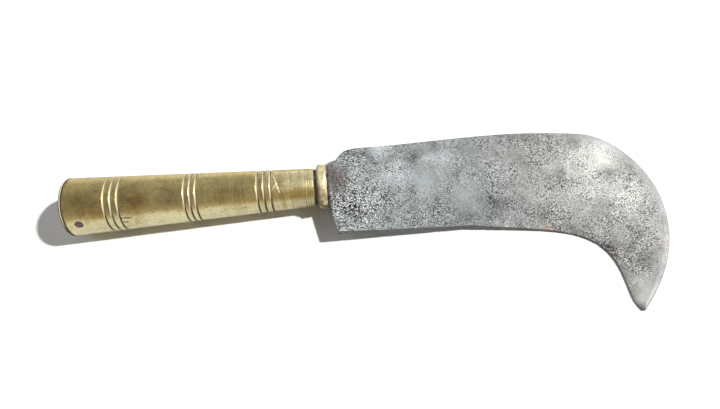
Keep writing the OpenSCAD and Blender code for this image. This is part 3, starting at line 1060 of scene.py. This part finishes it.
def outlines():
    """The back and the cutting edge, point for point across from each other."""
    shoulder = np.array(SHOULDER)
    spine_start = np.array([SPINE_FROM, SPINE_RISE])
    nose = np.array([BLADE_LEN - NOSE_BACK, NOSE_RISE])
    back = np.array([BLADE_LEN, -BEAK_BACK_DROP])
    heel = np.array([HEEL_SET, -EDGE_DROP])
    edge_end = heel + [STRAIGHT_LEN, 0]
    throat = np.array([BLADE_LEN - BEAK_W, -THROAT_DROP])
    tip = np.array([BLADE_LEN - TIP_BACK, -TIP_DROP])
    tip_side = tip + [3, 2.4]
    top_root = np.array([0, BLADE_ROOT_W / 2 + 1])
    low_root = np.array([0.2, 1 - BLADE_ROOT_W / 2])
    back_line = np.vstack([
        top_root,
        straight(top_root, shoulder, FIRST_FINE),
        cubic(shoulder, SHOULDER_PULL, spine_start, 5),
        cubic(spine_start, SPINE_PULL, nose, 14),
        cubic(nose, NOSE_PULL, back, 10),
        cubic(back, BEAK_PULL, tip_side, 12),
        cubic(tip_side, TIP_PULL, tip + [TIP_HALF, 0], 4),
    ])
    edge_line = np.vstack([
        low_root,
        straight(low_root, heel, FIRST_FINE),
        straight(heel, edge_end, 12 * FINE),
        cubic(edge_end, HOOK_PULL, throat, 26),
        cubic(throat, THROAT_PULL, tip - [TIP_HALF, 0], 7),
    ])
    return back_line, edge_line


def worn(line, towards, seed, amount, nicks=()):
    """The line drawn in towards the blade by uneven wear and by nicks."""
    step = np.gradient(line, axis=0)
    side = np.stack([-step[:, 1], step[:, 0]], axis=1)
    side /= np.linalg.norm(side, axis=1)[:, None]
    side *= np.sign(np.sum(side * (towards - line), axis=1))[:, None]
    flat = np.column_stack([line, np.zeros(len(line))])
    dig = amount * (0.5 + 0.5 * noise(flat, 9, seed))
    dig = dig + amount * 0.4 * (0.5 + 0.5 * noise(flat, 2.5, seed + 1))
    run = np.append(0, np.cumsum(np.linalg.norm(np.diff(line, axis=0), axis=1)))
    run = run - run[FIRST_FINE]
    for at, half, depth in nicks:
        dig = dig + depth * hump(run - at, half)
    ends = np.minimum(np.arange(len(line)), np.arange(len(line))[::-1]) / (2 * FINE)
    return line + side * (dig * np.clip(ends, 0, 1))[:, None]


ACROSS = 120
CORNER_STEPS = 4


def section(i, width):
    """One rib's section as rows of (distance from the back, height).

    It runs along the top to the edge, down the edge, back along the underside and up the back.
    """
    straight_ribs = 14
    thinning_ribs = 12
    nose_rib = 21
    last_rib = 46
    rib = rib_at(i)
    t = np.interp(rib, (0, nose_rib, last_rib), (SPINE_T, BEAK_T, TIP_T))
    bevel = np.clip((rib - 2) / 5, 0, 1)
    rim_share = np.clip((rib - 14) / 10, 0.2, 1) * np.clip((last_rib - rib) / 8, 0.25, 1)
    rim_w = min(RIM_W * rim_share, width / 4)
    rim_d = RIM_DEPTH * rim_share
    thinned = np.clip((rib - straight_ribs) / thinning_ribs, 0, 1)
    thin = t * (EDGE_SHARE + (HOOK_EDGE_SHARE - EDGE_SHARE) * thinned)
    bevel_w = max(min(BEVEL_W, width / 2) * bevel, width / 50)
    edge_low = max(thin - EDGE_T, 0) * bevel
    round_back = min(0.5, width * 0.2)
    round_edge = min(0.22, width * 0.15, (thin - edge_low) * 0.3)

    def top(s):
        inner = t - 0.1 * rim_d + (thin - t + 0.1 * rim_d) * (s - rim_w) / (width - rim_w)
        share = np.clip(s / rim_w, 0, 1)
        rim = t - rim_d + 0.9 * rim_d * (0.6 * share + 0.4 * np.sin(share * math.pi / 2))
        return np.where(s < rim_w, rim, inner)

    def under(s):
        return np.clip((s - width + bevel_w) / bevel_w, 0, 1) * edge_low

    u = np.linspace(0, 1, ACROSS)
    u = u - 0.06 * np.sin(2 * math.pi * u)
    s_top = round_back + (width - round_edge - round_back) * u
    s_under = s_top[::-1]
    edge_top = top(width - round_edge)
    back_top = top(round_back)
    back_round = min(round_back, back_top * 0.3)
    turn = np.linspace(0, math.pi / 2, CORNER_STEPS + 1)
    into, out_of = turn[1:], turn[:-1]
    runs = (
        (s_top, top(s_top)),
        (width - round_edge * (1 - np.sin(into)), edge_top - round_edge * (1 - np.cos(into))),
        (width - round_edge * (1 - np.cos(out_of)), edge_low + round_edge * (1 - np.sin(out_of))),
        (s_under, under(s_under)),
        (round_back * (1 - np.sin(into)), back_round * (1 - np.cos(into))),
        (round_back * (1 - np.cos(out_of)), back_top - back_round * (1 - np.sin(out_of))),
    )
    return np.vstack([np.column_stack(run) for run in runs])


def make_blade():
    back_line, edge_line = outlines()
    back = worn(back_line, edge_line, 51, 0.05)
    edge = worn(edge_line, back_line, 61, 0.10, NICKS)
    count = len(back)
    points = []
    from_back = []
    from_edge = []
    for i in range(count):
        run = edge[i] - back[i]
        width = np.linalg.norm(run)
        rows = section(i, width)
        flat = back[i] + np.outer(rows[:, 0] / width, run)
        points.append(np.column_stack([flat, lift(flat[:, 0]) + rows[:, 1]]))
        from_back.append(rows[:, 0])
        from_edge.append(width - rows[:, 0])
    points = np.array(points)
    ring = points.shape[1]

    # Forged unevenness: waves and shallow pits on the top, hollows only on the underside
    place = np.arange(ring)
    first_under = ACROSS + 2 * CORNER_STEPS
    is_under = (place >= first_under) & (place < first_under + ACROSS)
    flat = points * [1, 1, 0]
    away = np.minimum(from_back, from_edge)
    calm = np.clip(away / 4, 0, 1)
    waves = 0.10 * noise(flat, 24, 71) + 0.05 * noise(flat, 9, 73)
    near_heel = hump(np.hypot(points[:, :, 0] - 14, points[:, :, 1] + 14), 60)
    pit_depth = (0.04 + 0.10 * near_heel) * np.clip(away / 1.2, 0, 1)
    pits = np.clip(noise(flat, 1.5, 75) - 0.35, 0, 1) * pit_depth
    points[:, :, 2] += (waves * calm - pits) * (place < ACROSS)
    hollows = 0.10 * (1 + noise(flat, 20, 81)) * calm + pits * 0.8
    points[:, :, 2] += hollows * is_under

    # The tip's end is rounded off over its last ribs
    for i, share in ((-2, 0.72), (-1, 0.45)):
        middle = points[i, :, 2].mean()
        points[i, :, 2] = middle + (points[i, :, 2] - middle) * share

    points = points.reshape(-1, 3)
    wall = np.where((place < ACROSS - 1) | is_under, 0.0, 1.0)
    ends = np.array([points[:ring].mean(axis=0), points[-ring:].mean(axis=0)])
    faces = capped(count, ring)
    points = np.vstack([points, ends])
    attributes = {
        "from_neck": points[:, 0],
        "from_back": np.append(np.ravel(from_back), [9, 1]),
        "from_edge": np.append(np.ravel(from_edge), [9, 1]),
        "wall": np.append(np.tile(wall, count), [1, 1]),
    }
    finish_mesh(
        "blade_forged", points + BLADE_ORIGIN, faces, attributes, steel, "blade_steel", ["blade"]
    )


def make_tang():
    """The tang and its root: a forged bar that narrows towards the butt and eases into the blade."""
    half = TANG_T / 2
    root_from = COLLAR_FRONT + FACE_GAP
    rows = [
        (COLLAR_FRONT - TANG_LEN, TANG_END_W / 2, -half, half),
        (COLLAR_FRONT - TANG_LEN + 1, TANG_END_W / 2 + 0.4, -half, half),
        (GRIP_LEN - 20, TANG_ROOT_W / 2 - 1.2, -half, half),
        (COLLAR_FRONT, TANG_ROOT_W / 2, -half, half),
    ]
    for share in np.linspace(0, 1, 13):
        ease = (1 - share) ** 1.6
        x = root_from + (ROOT_LEN - FACE_GAP) * share
        top = -NECK_SET + (half + NECK_SET) * ease
        rows.append((x, TANG_ROOT_W / 2 - 1.2 * share**2, -half + 0.6 * share, top))
    corner_steps = 5
    turn = np.linspace(0, math.pi / 2, corner_steps)
    points = []
    for x, side, low, high in rows:
        c = min(0.9, (high - low) * 0.45)
        corner = c * (1 - np.array([np.cos(turn), np.sin(turn)]))
        quarter = np.column_stack([side - corner[0], high - corner[1]])
        upper = np.vstack([quarter, quarter[::-1] * [-1, 1]])
        loop = np.vstack([upper, [0, low + high] - upper])
        centre = BUTT + x * ALONG
        points.append(centre + loop[:, 1:] * UP + loop[:, :1] * HOOKWARD)
    ring = 4 * corner_steps
    faces = skin(len(rows), ring, flip=True)
    faces.append(tuple(range(ring)))
    faces.append(tuple(reversed(range((len(rows) - 1) * ring, len(rows) * ring))))
    points = np.vstack(points)
    attributes = {
        "from_neck": np.repeat([row[0] - root_from for row in rows], ring),
        "from_back": [9.0] * len(points),
        "from_edge": [9.0] * len(points),
        "wall": [0.0] * len(points),
    }
    finish_mesh("tang_forged", points, faces, attributes, steel, "blade_steel")


make_blade()
make_tang()

for node_name, material in (
    ("blade", steel), ("collar", collar_brass), ("handle_sleeve", brass),
    ("handle_core", wood), ("butt_cap", cap_brass), ("butt_pin", iron),
):
    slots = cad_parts[node_name].data.materials
    slots.clear()
    slots.append(material)


# Table, light and camera

TABLE_HALF = 2.0
SUN_TOWARDS = (0.943, -0.096, 1)
SUN_STRENGTH = 3.9
SUN_SPREAD = 3
# The sky's colours, by height from level with the table to straight overhead
SKY_COLOURS = (
    (0.0, (1.0, 1.0, 1.0)),
    (0.14, (0.96, 0.96, 0.96)),
    (0.38, (0.32, 0.325, 0.33)),
    (1.0, (0.105, 0.11, 0.115)),
)
BEHIND_COLOUR = (0.23, 0.165, 0.11)
LEFT_TOWARDS = (-0.86, 0.3, 0.42)
LEFT_STRENGTH = 3.8


def make_table():
    """A white table, pure white to the camera and in reflections wherever no shadow falls."""
    half = TABLE_HALF
    mesh = bpy.data.meshes.new("table")
    corners = [(-half, -half, 0), (half, -half, 0), (half, half, 0), (-half, half, 0)]
    mesh.from_pydata(corners, [], [(0, 1, 2, 3)])
    table = new_object("table", mesh)
    s = Shader("table_white")
    path = s.node("LightPath").outputs
    seen = s.math("MAXIMUM", path["Is Camera Ray"], path["Is Glossy Ray"])
    seen = s.math("MAXIMUM", seen, path["Is Transmission Ray"])
    white = s.mix(seen, (0.86, 0.86, 0.85), (1.0, 1.0, 1.0))
    mesh.materials.append(s.set(Base_Color=white, Roughness=0.9, Specular_IOR_Level=0.0))


def make_sun():
    """A sun from the right."""
    lamp = bpy.data.lights.new("sun", "SUN")
    lamp.energy = SUN_STRENGTH
    lamp.angle = math.radians(SUN_SPREAD)
    lamp.color = (1.0, 0.985, 0.96)
    sun = new_object("sun", lamp)
    sun.rotation_euler = Vector(SUN_TOWARDS).normalized().to_track_quat("Z", "Y").to_euler()


def make_sky():
    """White low down, darker overhead, dark and brown on the camera's side, and a soft light left."""
    world = bpy.data.worlds.new("studio")
    bpy.context.scene.world = world
    world.use_nodes = True
    s = Nodes(world.node_tree)
    towards = s.node("TexCoord").outputs["Generated"]
    split = s.node("SeparateXYZ", towards)
    by_height = s.node("ValToRGB", split.outputs["Z"])
    ramp = by_height.color_ramp
    ramp.interpolation = "EASE"
    for position, colour in SKY_COLOURS[1:-1]:
        ramp.elements.new(position)
    for element, (position, colour) in zip(ramp.elements, SKY_COLOURS):
        element.position = position
        element.color = (*colour, 1)
    behind = s.times(s.fit(split.outputs["Y"], 0.2, -0.75), s.fit(split.outputs["Z"], 0.05, 0.22))
    sky = s.mix(behind, by_height.outputs[0], BEHIND_COLOUR, blend="MULTIPLY")
    leftward = s.vector("DOT_PRODUCT", towards, LEFT_TOWARDS, result="Value")
    strength = s.fit(leftward, 0.74, 0.98, 1.0, LEFT_STRENGTH)
    glow = s.node("Background", Color=sky, Strength=strength)
    s.node("OutputWorld", Surface=glow.outputs[0])


# The camera looks down on the table from the hook's side, turned a little about its line of sight
VIEW_TARGET = np.array([-3.7, 20.2, 0])
VIEW_ELEVATION = math.radians(58)
VIEW_ROLL = math.radians(5.5)
VIEW_DISTANCE = 316.85
LENS = 27.55


def make_camera():
    away = np.array([0, -math.cos(VIEW_ELEVATION), math.sin(VIEW_ELEVATION)])
    level = np.array([1, 0, 0])
    rise = np.cross(away, level)
    right = level * math.cos(VIEW_ROLL) - rise * math.sin(VIEW_ROLL)
    up = level * math.sin(VIEW_ROLL) + rise * math.cos(VIEW_ROLL)
    spot = (VIEW_TARGET + away * VIEW_DISTANCE) * MM
    data = bpy.data.cameras.new("camera")
    data.lens = LENS
    data.sensor_width = 36
    data.clip_start = 0.01
    camera = new_object("camera", data)
    rows = np.column_stack([right, up, away, spot]).tolist()
    camera.matrix_world = Matrix([*rows, (0, 0, 0, 1)])
    bpy.context.scene.camera = camera


make_table()
make_sun()
make_sky()
make_camera()
bpy.context.scene.view_settings.view_transform = "Standard"
